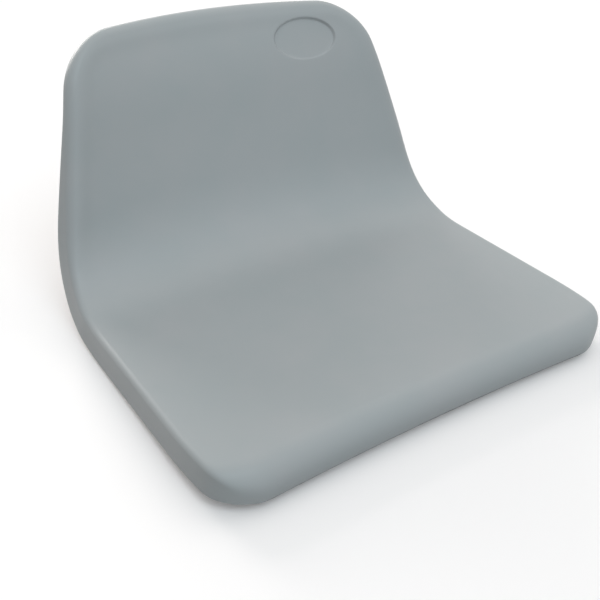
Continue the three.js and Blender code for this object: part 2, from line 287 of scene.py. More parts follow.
# Hot-dip galvanised steel: grey zinc crystals in patches, each with its own sheen
def makeGalvanised(values):
    material, tree, shader, place = newMaterial("hot-dip galvanised steel", Metallic=1)
    drift = addNode(tree, "TexNoise", {"Vector": place, "Scale": perMetre(values["driftSize"])})
    warp = addNode(tree, "VectorMath", {
        0: drift.outputs["Color"], "Scale": values["spangleWarp"] * mm}, operation="SCALE")
    moved = addNode(tree, "VectorMath", {0: place, 1: warp.outputs["Vector"]}, operation="ADD")
    spangle = addNode(tree, "TexVoronoi", {
        "Vector": moved.outputs["Vector"], "Scale": perMetre(values["spangleSize"])})
    crystal = addNode(tree, "SeparateColor", {"Color": spangle.outputs["Color"]})
    tint = addNode(tree, "Mix", {
        0: crystal.outputs["Red"], 6: colour(values["deepShade"]), 7: colour(values["paleShade"])},
        data_type="RGBA")
    bloom = addNode(tree, "TexNoise", {
        "Vector": place, "Scale": perMetre(values["bloomSize"]), "Detail": 3, "Roughness": 0.65})
    gloss = addNode(tree, "MapRange", {
        "Value": crystal.outputs["Green"], "To Min": values["smoothest"], "To Max": values["roughest"]})
    skin = addNode(tree, "Bump", {
        "Height": bloom.outputs["Fac"], "Distance": values["bloomHeight"] * mm})
    wired(tree, shader, Base_Color=tint.outputs[2], Roughness=gloss.outputs["Result"],
          Normal=skin.outputs["Normal"])
    return material


zincPlate = {
    "paleShade": "#d2d7dc",
    "deepShade": "#b4bcc4",
    "cloudSize": 5,        # where the bath was uneven
    "smoothest": 0.22,     # roughness, by the cloud
    "roughest": 0.34,
    "grainSize": 0.5,
    "grainHeight": 0.008,
}


# Bright zinc plate on steel: bluish silver, faintly cloudy
def makeZincPlate(values):
    material, tree, shader, place = newMaterial("zinc-plated steel", Metallic=1)
    cloud = addNode(tree, "TexNoise", {
        "Vector": place, "Scale": perMetre(values["cloudSize"]), "Detail": 3, "Roughness": 0.6})
    tint = addNode(tree, "Mix", {
        0: cloud.outputs["Fac"], 6: colour(values["deepShade"]), 7: colour(values["paleShade"])},
        data_type="RGBA")
    gloss = addNode(tree, "MapRange", {
        "Value": cloud.outputs["Fac"], "From Min": noiseLow, "From Max": noiseHigh,
        "To Min": values["smoothest"], "To Max": values["roughest"]})
    grain = addNode(tree, "TexNoise", {"Vector": place, "Scale": perMetre(values["grainSize"])})
    skin = addNode(tree, "Bump", {
        "Height": grain.outputs["Fac"], "Distance": values["grainHeight"] * mm})
    wired(tree, shader, Base_Color=tint.outputs[2], Roughness=gloss.outputs["Result"],
          Normal=skin.outputs["Normal"])
    return material


turnedBrass = {
    "paleShade": "#d8b86a",
    "deepShade": "#b8923f",
    "roughness": 0.3,
    "tarnishSize": 4,
    "toolMarks": 0.7,      # height of one turning mark, really about 0.1
    "markHeight": 0.01,
}


# Turned brass: warm yellow with fine tool marks round the bar
def makeBrass(values):
    material, tree, shader, place = newMaterial(
        "turned brass", Metallic=1, Roughness=values["roughness"])
    tarnish = addNode(tree, "TexNoise", {
        "Vector": place, "Scale": perMetre(values["tarnishSize"]), "Detail": 3})
    tint = addNode(tree, "Mix", {
        0: tarnish.outputs["Fac"], 6: colour(values["deepShade"]), 7: colour(values["paleShade"])},
        data_type="RGBA")
    marks = addNode(tree, "TexWave", {
        "Vector": place, "Scale": perMetre(values["toolMarks"]) / bandsPerScale, "Distortion": 0.5},
        wave_type="BANDS", bands_direction="Z")
    skin = addNode(tree, "Bump", {
        "Height": marks.outputs["Fac"], "Distance": values["markHeight"] * mm})
    wired(tree, shader, Base_Color=tint.outputs[2], Normal=skin.outputs["Normal"])
    return material


plasticFinish = makePlastic(plastic)
galvanisedFinish = makeGalvanised(galvanised)
zincFinish = makeZincPlate(zincPlate)
brassFinish = makeBrass(turnedBrass)
print("materials ready")


# the moulded shell

seat = {
    # side profile, followed from the top edge down to the front edge
    "flareLength": 262,
    "straightLength": 179,
    "frontTaperLength": 89,
    "backTilt": 19.3,
    "topRoll": 17,
    "topRollLength": 90,
    "bendStart": 145,
    "bendLength": 156,
    "panRise": 2,
    "noseDrop": 12,
    "noseDropLength": 60,
    # outline
    "topHalfWidth": 164.5,
    "fullHalfWidth": 224,
    "frontHalfWidth": 215,
    "flarePower": 1.35,
    "topCornerRadius": 43,
    "frontCornerRadius": 39,
    "topCrown": 18,
    "frontHollow": 5.5,
    "edgeReachShare": 0.5,
    # wall, dish and turned-down rim
    "wall": 4,
    "backDish": 18,
    "panCrown": 0.9,
    "edgeRound": 10,       # along the back
    "panEdgeRound": 6,     # along the sides of the pan, tighter
    "noseRound": 26.5,
    "topRimDepth": 11,
    "sideRimDepth": 31,
    "frontRimDepth": 28,
    "rimPower": 1.5,
    "rimDraft": 2.4,       # how far the pan's side rims spread down to their lips
    "fullRimShare": 0.6,
    "lipRound": 1.7,
    "lipSteps": 4,
    # soft raised border along the back's edges, which fades out in the bend
    "borderHeight": 1.1,
    "borderReach": 16,     # from the outer edge to its crest
    "borderWidth": 5.5,
    "borderFadeStart": 130,
    "borderFadeEnd": 260,
    # fineness of the mesh
    "columns": 96,
    "edgeCrowding": 0.2,   # draws the columns together towards the edges
    "sideRows": 92,
    "cornerRows": 16,
    "roundSteps": 10,
    "rimSteps": 3,
    "smoothAngle": 32,
}
seatLength = seat["flareLength"] + seat["straightLength"] + seat["frontTaperLength"]
bendStart, bendEnd = seat["bendStart"], seat["bendStart"] + seat["bendLength"]


def smoothStep(value, low, high):
    t = np.clip((value - low) / (high - low), 0, 1)
    return t * t * (3 - 2 * t)


def mixed(first, second, share):
    return first + (second - first) * share


# heading of the side profile in radians: 0 runs straight down, a quarter turn runs forward
def heading(s):
    roll = seat["topRoll"] * (1 - smoothStep(s, 0, seat["topRollLength"]))
    bend = (90 + seat["panRise"] - seat["backTilt"]) * smoothStep(s, bendStart, bendEnd)
    drop = seat["noseDrop"] * smoothStep(s, seatLength - seat["noseDropLength"], seatLength)
    return np.radians(seat["backTilt"] + roll + bend - drop)


# the profile's line, summed up in steps of 1 mm from the crown of the top edge
profileStations = np.arange(-seat["topCrown"], seatLength + 1.0)
profileTurns = heading(profileStations[:-1] + 0.5)
profileY = np.concatenate([[0], -np.cumsum(np.sin(profileTurns))])
profileZ = np.concatenate([[0], -np.cumsum(np.cos(profileTurns))])


def halfWidth(s):
    full = seat["fullHalfWidth"]
    flare = np.clip(1 - s / seat["flareLength"], 0, None) ** seat["flarePower"]
    taper = np.clip(1 - (seatLength - s) / seat["frontTaperLength"], 0, None) ** 2
    return full - (full - seat["topHalfWidth"]) * flare - (full - seat["frontHalfWidth"]) * taper


def borderRise(x, s):
    corner = seat["topCornerRadius"]
    over = np.clip(corner - s, 0, None), np.clip(abs(x) - halfWidth(s) + corner, 0, None)
    away = (corner - np.hypot(*over) - seat["borderReach"]) / seat["borderWidth"]
    fade = 1 - smoothStep(s, seat["borderFadeStart"], seat["borderFadeEnd"])
    return seat["borderHeight"] * np.exp(-away ** 2 / 2) * fade


# points under the sitting surface: x across, s along the profile, depth square below it
def shellPoints(x, s, depth):
    x, s, depth = np.broadcast_arrays(np.asarray(x, float), s, depth)
    reach = seatLength * seat["edgeReachShare"]
    topFade = np.clip(1 - s / reach, 0, None) ** 2
    frontFade = np.clip(1 - (seatLength - s) / reach, 0, None) ** 2
    crown = seat["topCrown"] * (1 - (x / seat["topHalfWidth"]) ** 2) * topFade
    hollow = seat["frontHollow"] * (1 - (x / seat["frontHalfWidth"]) ** 2) * frontFade
    along = s - crown - hollow
    dish = mixed(seat["backDish"], -seat["panCrown"], smoothStep(along, bendStart, bendEnd))
    half = halfWidth(s)
    lean = -2 * dish * x / half ** 2
    length = np.hypot(1, lean)
    rise = dish * (x / half) ** 2 - depth / length + borderRise(x, s)
    turn = heading(along)
    y = np.interp(along, profileStations, profileY) - np.cos(turn) * rise
    z = np.interp(along, profileStations, profileZ) + np.sin(turn) * rise
    return np.stack([x - lean * depth / length, y, z], axis=-1)


# station, half width and share of the nose on each row of the outline, drawn in by the insets
def outlineRows(row, inset, frontInset):
    corner, side = seat["cornerRows"], seat["sideRows"]
    topCorner, frontCorner = seat["topCornerRadius"], seat["frontCornerRadius"]
    last = 2 * corner + side
    sideEnd = seatLength - frontCorner
    topTurn = quarterTurn * np.clip(1 - row / corner, 0, 1)
    topRadius = topCorner - inset
    frontTurn = quarterTurn * np.clip(1 - (last - row) / corner, 0, 1)
    along = mixed(topCorner, sideEnd, (row - corner) / side)
    s = np.where(row < corner, topCorner - topRadius * np.sin(topTurn), along)
    s = np.where(row > last - corner, sideEnd + (frontCorner - frontInset) * np.sin(frontTurn), s)
    cut = topRadius * (1 - np.cos(topTurn)) + (frontCorner - inset) * (1 - np.cos(frontTurn))
    return s, halfWidth(s) - inset - cut, smoothStep(np.sin(frontTurn) ** 2, 0, 1)


def rimDepth(s):
    fullAt = mixed(bendStart, bendEnd, seat["fullRimShare"])
    growth = np.clip(s / fullAt, 0, 1) ** seat["rimPower"]
    fade = smoothStep(s, fullAt, seatLength)
    fall = (seat["sideRimDepth"] - seat["frontRimDepth"]) * fade
    return mixed(seat["topRimDepth"], seat["sideRimDepth"], growth) - fall


def edgeRadius(s):
    return mixed(seat["edgeRound"], seat["panEdgeRound"], smoothStep(s, bendStart, bendEnd))


def rimSpread(s):
    return seat["rimDraft"] * smoothStep(s, 0, bendEnd)


# points of one layer: turn goes from the flat surface, 0, round the edge to a quarter turn,
# and drop then goes down the rim from 0 to 1
def layerPoints(row, column, turn, drop=0):
    station = outlineRows(row, 0, 0)[0]
    edge, inward = edgeRadius(station), 1 - math.sin(turn)
    inset = edge * inward + rimSpread(station) * (1 - drop)
    s, half, nose = outlineRows(row, inset, seat["noseRound"] * inward)
    rounded = mixed(edge, seat["noseRound"], nose)
    depth = rounded * (1 - math.cos(turn))
    depth = mixed(depth, np.maximum(rimDepth(s), rounded), drop)
    share = 2 * column / seat["columns"] - 1
    return shellPoints(half * mixed(share, share ** 3, -seat["edgeCrowding"]), s, depth)


recess = {
    "width": 74,
    "height": 45,
    "depth": 2,
    "offset": 95.5,        # from the middle of the seat
    "station": 40,         # along the profile from the top edge
    "turn": 4,             # follows the crowned top edge
    "sides": 96,
    "apron": 1,            # plain ring round it that joins it to the coarser sheet
    "cutSpare": 0.3,       # how far beyond the apron the coarser faces go
    "seamReach": 12,       # how far from it the open edges of the sheet lie
    "seamDepth": 11,       # and how far from its plane
    "fitRounds": 20,       # steps in which its points find their place on the curved back
    # rings from the surface, share 0, to the floor, share 1: how far outside the mouth, and share
    "rings": ((0.35, 0.03), (-0.1, 0.13), (-0.6, 0.35), (-1.1, 0.6), (-1.6, 0.85),
              (-2, 0.96), (-2.5, 1), (-5, 1)),
}


# the oval's middle, its axes across, along and out of the back, and the profile's direction
def recessFrame():
    here = [recess["offset"], recess["station"]]
    centre, below = shellPoints(*here, 0), shellPoints(*here, seat["wall"])
    out = Vector(centre - below).normalized()
    down = Vector((1, 0, 0)).cross(out).normalized()
    turn = Matrix.Rotation(math.radians(-recess["turn"]), 3, out)
    axes = [turn @ out.cross(down), turn @ down, out]
    return centre, np.array([list(axis) for axis in axes]), np.array(list(down))


# height of the sitting surface over the recess's own plane
def heightOver(flat, centre, axes, down):
    x, s = recess["offset"] + flat[:, 0], recess["station"] + flat[:, 1]
    for _ in range(recess["fitRounds"]):
        local = (shellPoints(x, s, 0) - centre) @ axes.T
        step = (flat - local[:, :2]) @ axes[:2]
        x, s = x + step[:, 0], s + step @ down
    return ((shellPoints(x, s, 0) - centre) @ axes.T)[:, 2]


def ovalRing(turns, grow, share, centre, axes, down):
    reach = np.array([recess["width"] / 2 + grow, recess["height"] / 2 + grow])
    flat = np.stack([np.cos(turns), np.sin(turns)], axis=1) * reach
    height = mixed(heightOver(flat, centre, axes, down), -recess["depth"], share)
    return centre + flat @ axes[:2] + height[:, None] * axes[2]


def setNumbers(piece, name, numbers):
    layer = piece.data.attributes.new(name, "INT", "POINT")
    layer.data.foreach_set("value", np.asarray(numbers, np.int32))


def getNumbers(piece, name):
    numbers = np.empty(len(piece.data.vertices), np.int32)
    piece.data.attributes[name].data.foreach_get("value", numbers)
    return numbers


# extrudes the selected edges once, to where placesOf says
def extrudeTo(piece, placesOf):
    bpy.ops.mesh.extrude_edges_move()
    leaveEdit()
    moveSelected(piece, placesOf)
    bpy.ops.object.mode_set(mode="EDIT")


# turn and drop of each ring that the sheet's edge is carried on by
edgeSteps = [(quarterTurn * i / seat["roundSteps"], 0) for i in range(1, seat["roundSteps"] + 1)]
edgeSteps += [(quarterTurn, i / seat["rimSteps"]) for i in range(1, seat["rimSteps"] + 1)]


# how far the formula's own place is from the CAD shell's, in metres
def seatOffset():
    rows = np.arange(2 * seat["cornerRows"] + seat["sideRows"] + 1.0)
    row, column = np.meshgrid(rows, np.arange(seat["columns"] + 1.0), indexing="ij")
    points = np.concatenate([
        layerPoints(row, column, *step).reshape(-1, 3) for step in [(0, 0), *edgeSteps]])
    low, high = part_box("seat_shell")
    middle = (points[:, 1].min() + points[:, 1].max()) / 2 * mm
    return np.array([0, (low.y + high.y) / 2 - middle, low.z - points[:, 2].min() * mm])


offset = seatOffset()


def placed(points):
    return np.asarray(points) * mm + offset


def makeSheet():
    columns, rows = seat["columns"], 2 * seat["cornerRows"] + seat["sideRows"]
    bpy.ops.mesh.primitive_grid_add(x_subdivisions=columns, y_subdivisions=rows, size=1)
    sheet = started("moulded_shell")
    flat = readPoints(sheet)
    setNumbers(sheet, "column", np.rint((flat[:, 0] + 0.5) * columns))
    setNumbers(sheet, "row", np.rint((0.5 - flat[:, 1]) * rows))

    def layerOf(turn, drop):
        def placesOf(chosen):
            row, column = getNumbers(sheet, "row")[chosen], getNumbers(sheet, "column")[chosen]
            return placed(layerPoints(row, column, turn, drop))
        return placesOf

    writePoints(sheet, layerOf(0, 0)(np.ones(len(flat), bool)))
    # the edge is turned down and carried on as the rim, ring by ring
    pickAll(sheet)
    bpy.ops.mesh.region_to_loop()
    for turn, drop in edgeSteps:
        extrudeTo(sheet, layerOf(turn, drop))
    leaveEdit()
    return sheet


# the number recess: an oval hole in the sheet, filled by rings that lead down to a flat floor
def sinkRecess(sheet):
    centre, axes, down = recessFrame()
    ends = np.array([recess["width"], recess["height"]]) / 2 + recess["apron"]

    def near(points, spare):
        local = ((points - offset) / mm - centre) @ axes.T
        inside = ((local[:, :2] / (ends + spare)) ** 2).sum(axis=1) < 1
        return inside & (abs(local[:, 2]) < recess["seamDepth"])

    inside = near(readPoints(sheet), recess["cutSpare"])
    pick(sheet, "FACE", [inside[list(face.vertices)].any() for face in sheet.data.polygons])
    bpy.ops.mesh.delete(type="FACE")
    bpy.ops.mesh.select_all(action="DESELECT")
    bpy.ops.mesh.primitive_circle_add(vertices=recess["sides"], radius=recess["width"] / 2 * mm)
    leaveEdit()
    points = readPoints(sheet)
    turns = np.arctan2(points[:, 1], points[:, 0])
    setNumbers(sheet, "place", np.rint(turns / (2 * np.pi) * recess["sides"]))

    def ringOf(grow, share):
        def placesOf(chosen):
            around = getNumbers(sheet, "place")[chosen] * 2 * np.pi / recess["sides"]
            return placed(ovalRing(around, grow, share, centre, axes, down))
        return placesOf

    moveSelected(sheet, ringOf(recess["apron"], 0))
    bpy.ops.object.mode_set(mode="EDIT")
    for grow, share in recess["rings"]:
        extrudeTo(sheet, ringOf(grow, share))
    bpy.ops.mesh.edge_face_add()
    leaveEdit()
    edges = edgeEnds(sheet)
    halfway = readPoints(sheet)[edges].mean(axis=1)
    use = np.bincount([loop.edge_index for loop in sheet.data.loops], minlength=len(edges))
    pick(sheet, "EDGE", (use == 1) & near(halfway, recess["seamReach"]))
    bpy.ops.mesh.fill(use_beauty=True)
    leaveEdit()


# gives the sheet its wall on the inside, and rounds the rim's lower lip
def thicken(sheet):
    recalculated(sheet)
    panMiddle = seat["frontHalfWidth"] / 2 * mm
    pan = [face for face in sheet.data.polygons
           if face.center.y < 0 and abs(face.center.x) < panMiddle]
    if sum(face.normal.z for face in pan) < 0:
        pickAll(sheet)
        bpy.ops.mesh.flip_normals()
        leaveEdit()
    for _ in range(2):     # the second one marks the lip's faces until it's rounded
        sheet.data.materials.append(plasticFinish)
    applied(sheet, "SOLIDIFY", thickness=seat["wall"] * mm, offset=-1, use_even_offset=True,
            use_quality_normals=True, material_offset_rim=1)
    lip = [face.material_index == 1 for face in sheet.data.polygons]
    roundOutline(sheet, lip, seat["lipRound"], seat["lipSteps"])
    sheet.data.polygons.foreach_set("material_index", np.zeros(len(sheet.data.polygons), np.int32))


underside = {
    "ribFoot": 2.6,        # thickness at the wall
    "ribEdge": 2.0,        # and at the free edge, drawn in so that the part leaves the mould
    "ribDepth": 11,
    "ribRound": 0.6,
    "ribRoundSteps": 3,
    "ribSteps": 60,
    "ribRoot": 0.6,        # where a long rib starts in the wall, as a share of its thickness
    "ribFaded": 0.9,       # and where its lower edge ends when it has faded out
    "innerRibOffset": 56,
    "outerRibOffset": 168,
    "ribTopStation": 96,
    "ribFadeLength": 90,
    "crossRibStations": (232, 297, 362, 427),
    "bossStations": (280, 500),    # part of the profile that the bosses stand under
    "bossDiameter": 24,
    "bossGrowth": 1.03,    # wider at the wall than at the foot
    "bossRound": 0.5,
    "bossSteps": 48,
    "boreSpare": 1.5,      # depth of the bore above the insert
    "fit": 0.3,            # gap round the insert
    # marks of the ejector pins: a grid of them under the pan, and two more behind the back
    "pinOffsets": (-140, -28, 28, 140),
    "pinStations": (264, 394, 480),
    "backPins": ((-112, 130), (112, 130)),
    "pinDiameter": 8,
    "pinDepth": 0.25,
    "pinReach": 4,         # how far the tool that cuts them stands out of the wall
    "pinRound": 0.1,
    "pinSteps": 32,
    "gateDiameter": 4.5,   # stub left where the plastic came in
    "gateHeight": 1.2,
    "gateStation": 330,
}
screwPlaces = ("front_left", "front_right", "rear_left", "rear_right")


def middleOf(node):
    low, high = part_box(node)
    return (low + high) / 2


# closed slab between an upper and a lower line, narrower along its lower edge
def makeSlab(name, upper, lower, sideways):
    bpy.ops.mesh.primitive_grid_add(x_subdivisions=len(upper) - 1, y_subdivisions=1, size=1)
    slab = started(name)
    flat = readPoints(slab)
    setNumbers(slab, "station", np.rint((flat[:, 0] + 0.5) * (len(upper) - 1)))
    setNumbers(slab, "side", np.sign(flat[:, 1]))

    def lineOf(line, thickness):
        side = getNumbers(slab, "side")[:, None] * thickness / 2
        return placed(line[getNumbers(slab, "station")] + side * sideways)

    writePoints(slab, lineOf(upper, underside["ribFoot"]))
    pickAll(slab)
    bpy.ops.mesh.extrude_region_move()
    leaveEdit()
    chosen = moveSelected(slab, lambda chosen: lineOf(lower, underside["ribEdge"])[chosen])
    side, (a, b) = getNumbers(slab, "side"), edgeEnds(slab).T
    pick(slab, "EDGE", chosen[a] & chosen[b] & (side[a] == side[b]))
    bpy.ops.mesh.bevel(
        offset=underside["ribRound"] * mm, segments=underside["ribRoundSteps"], affect="EDGES")
    leaveEdit()
    recalculated(slab)
    return slab


def makeLongRib(x):
    end = seatLength - seat["noseRound"]
    s = np.linspace(underside["ribTopStation"], end, underside["ribSteps"] + 1)
    fadeEnd = underside["ribTopStation"] + underside["ribFadeLength"]
    depth = underside["ribDepth"] * smoothStep(s, underside["ribTopStation"], fadeEnd)
    upper = shellPoints(x, s, seat["wall"] * underside["ribRoot"])
    lower = shellPoints(x, s, seat["wall"] * underside["ribFaded"] + depth)
    upper[:, 0] = lower[:, 0] = x
    return makeSlab("long_rib", upper, lower, np.array([1.0, 0, 0]))


# runs from rim to rim, its upper line inside the wall and round its turned edges
def makeCrossRib(s):
    edge = edgeRadius(s)
    flat, reach = halfWidth(s) - rimSpread(s) - edge, edge - seat["wall"] / 2
    turns = np.radians([30, 60, 90])       # points on the way round the edge
    straight = np.linspace(0, flat, underside["ribSteps"] // 2)
    x = np.concatenate([straight, flat + reach * np.sin(turns)])
    depth = np.full(len(x), seat["wall"] / 2)
    depth[len(straight):] = edge - reach * np.cos(turns)
    x, depth = np.concatenate([-x[:0:-1], x]), np.concatenate([depth[:0:-1], depth])
    lowest = seat["wall"] + underside["ribDepth"]
    turn = heading(s)
    sideways = np.array([0, math.sin(turn), math.cos(turn)])
    return makeSlab("cross_rib", shellPoints(x, s, depth), shellPoints(x, s, lowest), sideways)


# height of the sitting surface over a place on the pan, in metres
def panHeight(x, y):
    points = placed(shellPoints(x / mm, np.arange(*underside["bossStations"]), 0))
    return float(np.interp(-y, -points[:, 1], points[:, 2]))


# stands on the wall's middle, and its bore takes the insert
def makeBoss(place):
    low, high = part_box("threaded_insert_" + place)
    middle = (low + high) / 2
    foot, bore = low.z, high.z + underside["boreSpare"] * mm
    top = panHeight(middle.x, middle.y) - seat["wall"] / 2 * mm
    radius = underside["bossDiameter"] / 2 * mm
    boreRadius = (high.x - low.x) / 2 + underside["fit"] * mm
    bpy.ops.mesh.primitive_cylinder_add(
        vertices=underside["bossSteps"], radius=radius, depth=top - foot,
        location=(middle.x, middle.y, (top + foot) / 2))
    boss = started("boss")
    pick(boss, "FACE", facing(boss, upwards))
    growth = underside["bossGrowth"]
    bpy.ops.transform.resize(value=(growth, growth, 1), center_override=(middle.x, middle.y, top))
    leaveEdit()
    pick(boss, "FACE", facing(boss, -upwards))
    bpy.ops.mesh.inset(thickness=radius - boreRadius)
    bpy.ops.mesh.extrude_region_move(TRANSFORM_OT_translate={"value": (0, 0, bore - foot)})
    leaveEdit()
    lowest = np.array([abs(face.center.z - foot) < touch * mm for face in boss.data.polygons])
    roundOutline(boss, facing(boss, -upwards) & lowest, underside["bossRound"], 2)
    return boss


# round bar square to the wall, between two depths below the sitting surface
def makePin(x, s, diameter, fromDepth, toDepth):
    first, last = [Vector(end) for end in placed(shellPoints(x, s, np.array([fromDepth, toDepth])))]
    axis = (last - first).normalized()
    bpy.ops.mesh.primitive_cylinder_add(
        vertices=underside["pinSteps"], radius=diameter / 2 * mm, depth=(last - first).length,
        location=(first + last) / 2, rotation=axis.to_track_quat("Z", "Y").to_euler())
    pin = started("pin")
    roundOutline(pin, facing(pin, axis) | facing(pin, -axis), underside["pinRound"], 1)
    return pin


shell = makeSheet()
sinkRecess(shell)
thicken(shell)
for x in (underside["innerRibOffset"], underside["outerRibOffset"]):
    for side in (-1, 1):
        combine(shell, makeLongRib(side * x), "UNION")
for station in underside["crossRibStations"]:
    combine(shell, makeCrossRib(station), "UNION")
for place in screwPlaces:
    combine(shell, makeBoss(place), "UNION")
wall = seat["wall"]
pinPlaces = [(x, s) for x in underside["pinOffsets"] for s in underside["pinStations"]]
for x, s in [*pinPlaces, *underside["backPins"]]:
    pin = makePin(x, s, underside["pinDiameter"], wall - underside["pinDepth"],
                  wall + underside["pinReach"])
    combine(shell, pin, "DIFFERENCE")
gate = makePin(0, underside["gateStation"], underside["gateDiameter"], wall / 2,
               wall + underside["gateHeight"])
combine(shell, gate, "UNION")
smooth(shell, seat["smoothAngle"])
finished(shell, plasticFinish, "moulded_polypropylene", "seat_shell")
print("shell ready:", len(shell.data.polygons), "faces")


# the two folded steel rails that carry the shell and take the stand's bolts

rail = {
    "length": 230,
    "flangeReach": 37,     # from the middle to the outer edge of a flange
    "webReach": 15.75,     # from the middle to the middle of a web
    "sheet": 2.5,
    "height": 15,
    "foldRadius": 3.25,
    "foldSteps": 8,
    "slotWidth": 9,
    "slotLength": 22,
    "slotReach": 90,       # from the rail's middle to a slot's middle
    "slotSide": 28,
    "holeDiameter": 9,
    "cutterHeight": 45,
    "cutterSteps": 48,
    "edge": 0.25,          # eased by the shears and the zinc
    "smoothAngle": 35,
}


# an upright cutter, round, or drawn out along y to a slot
def makeCutter(x, y, width, length):
    bpy.ops.mesh.primitive_cylinder_add(
        vertices=rail["cutterSteps"], radius=width / 2 * mm, depth=rail["cutterHeight"] * mm,
        location=(x * mm, y * mm, rail["height"] / 2 * mm))
    cutter = started("cutter")
    points = readPoints(cutter)
    reach = (length - width) / 2 * mm
    points[:, 1] += np.where(points[:, 1] > y * mm, reach, -reach)
    writePoints(cutter, points)
    return cutter


# a strip of sheet is folded to a hat, given its thickness, punched and eased along its edges
def makeRail(side):
    name = "mounting_rail_" + side
    middle = middleOf(name) / mm
    upper, lower = rail["height"] - rail["sheet"] / 2, rail["sheet"] / 2
    section = [(-rail["flangeReach"], lower), (-rail["webReach"], lower), (-rail["webReach"], upper),
               (rail["webReach"], upper), (rail["webReach"], lower), (rail["flangeReach"], lower)]
    last = len(section) - 1
    bpy.ops.mesh.primitive_grid_add(x_subdivisions=last, y_subdivisions=1, size=rail["length"] * mm)
    piece = started(name)
    points = readPoints(piece)
    column = np.rint((points[:, 0] / (rail["length"] * mm) + 0.5) * last).astype(int)
    for index, (x, z) in enumerate(section):
        points[column == index, 0] = (middle.x + x) * mm
        points[column == index, 2] = z * mm
    points[:, 1] += middle.y * mm
    writePoints(piece, points)
    start, end = column[edgeEnds(piece)].T
    pick(piece, "EDGE", (start == end) & (start % last > 0))
    bpy.ops.mesh.bevel(offset=rail["foldRadius"] * mm, segments=rail["foldSteps"], affect="EDGES")
    leaveEdit()
    applied(piece, "SOLIDIFY", thickness=rail["sheet"] * mm, offset=0, use_even_offset=True)
    for across in (-1, 1):
        for along in (-1, 1):
            x, y = middle.x + across * rail["slotSide"], middle.y + along * rail["slotReach"]
            combine(piece, makeCutter(x, y, rail["slotWidth"], rail["slotLength"]), "DIFFERENCE")
    for end in ("front_", "rear_"):
        x, y = (middleOf("rail_screw_" + end + side) / mm)[:2]
        combine(piece, makeCutter(x, y, rail["holeDiameter"], rail["holeDiameter"]), "DIFFERENCE")
    eased(piece, rail)
    finished(piece, galvanisedFinish, "galvanised_steel", name)


makeRail("left")
makeRail("right")
print("rails ready")


# screws, washers and inserts: each is made once, on the z axis, and copied to its four places

screw = {
    "headWidth": 13,
    "headBottom": 2.7,
    "headTop": 8,
    "headChamfer": 30,
    "chamferShare": 0.95,  # width of the head's flat round face over its width across flats
    "headSteps": 96,
    "spare": 0.5,          # how far the chamfering blank stands outside the head's corners
    "overlap": 1,          # how far the shank reaches into the head
    "tip": 24,
    "tipChamfer": 1,
    "tipDrop": 0.3,        # how far the tip's flat end lies inside the thread's root
    "plainNeck": 1.2,
    "crestRadius": 3.7,
    "rootRadius": 3.15,
    "pitch": 1.25,
    "ringsPerPitch": 8,
    "shankSteps": 40,
    "edge": 0.12,
    "smoothAngle": 32,
}
flatWasher = {
    "innerRadius": 4.5,
    "outerRadius": 8,
    "bottom": 10.6,
    "top": 12.2,
    "steps": 72,
    "edge": 0.25,
    "smoothAngle": 50,
}
lockWasher = {
    "innerRadius": 4.3,
    "outerRadius": 7.4,
    "bottom": 8.3,
    "top": 10.3,
    "slit": 1.6,
    "slant": 25,           # how far the slit leans from upright
    "steps": 64,
    "edge": 0.2,
    "smoothAngle": 50,
}
insert = {
    "innerRadius": 4,
    "outerRadius": 6,
    "bottom": 15.3,
    "top": 28,
    "grooveRadius": 4.8,
    "landHeight": 3.2,
    "lead": 0.4,           # chamfer at both ends
    "knurls": 36,
    "knurlDepth": 0.35,
    "knurlLean": 0.12,     # turn of the knurl over one millimetre of height, in radians
    "ringHeight": 0.4,
    "threadDepth": 0.3,
    "pitch": 1.25,
    "ringsPerPitch": 6,
    "steps": 144,
    "smoothAngle": 30,
}
rootFlat, crestFlat = 0.1, 0.2     # shares cut off a thread at its root and its crest


# spins a section of (radius, height) points once round the z axis
def turned(name, section, steps):
    bpy.ops.mesh.primitive_circle_add(vertices=len(section), radius=mm, fill_type="NOTHING")
    piece = started(name)
    writePoints(piece, [(radius * mm, 0, height * mm) for radius, height in section])
    pick(piece, "VERT", np.ones(len(section)))
    bpy.ops.mesh.spin(steps=steps, angle=2 * math.pi, center=(0, 0, 0), axis=(0, 0, 1))
    leaveEdit()
    recalculated(piece)
    return piece


# moves points to new radii, which the rule works out from angle, height and radius
def reshapedRound(piece, rule):
    points = readPoints(piece)
    angle = np.arctan2(points[:, 1], points[:, 0])
    radius = np.hypot(points[:, 0], points[:, 1]) / mm
    stretch = rule(angle, points[:, 2] / mm, radius) / np.where(radius > 0, radius, 1)
    points[:, :2] *= stretch[:, None]
    writePoints(piece, points)


# a screw thread's height between root, 0, and crest, 1, along its helix
def threadHeight(angle, height, pitch):
    turn = (height / pitch - angle / (2 * math.pi)) % 1
    return np.clip(mixed(-rootFlat, 1 + crestFlat, 1 - np.abs(2 * turn - 1)), 0, 1)


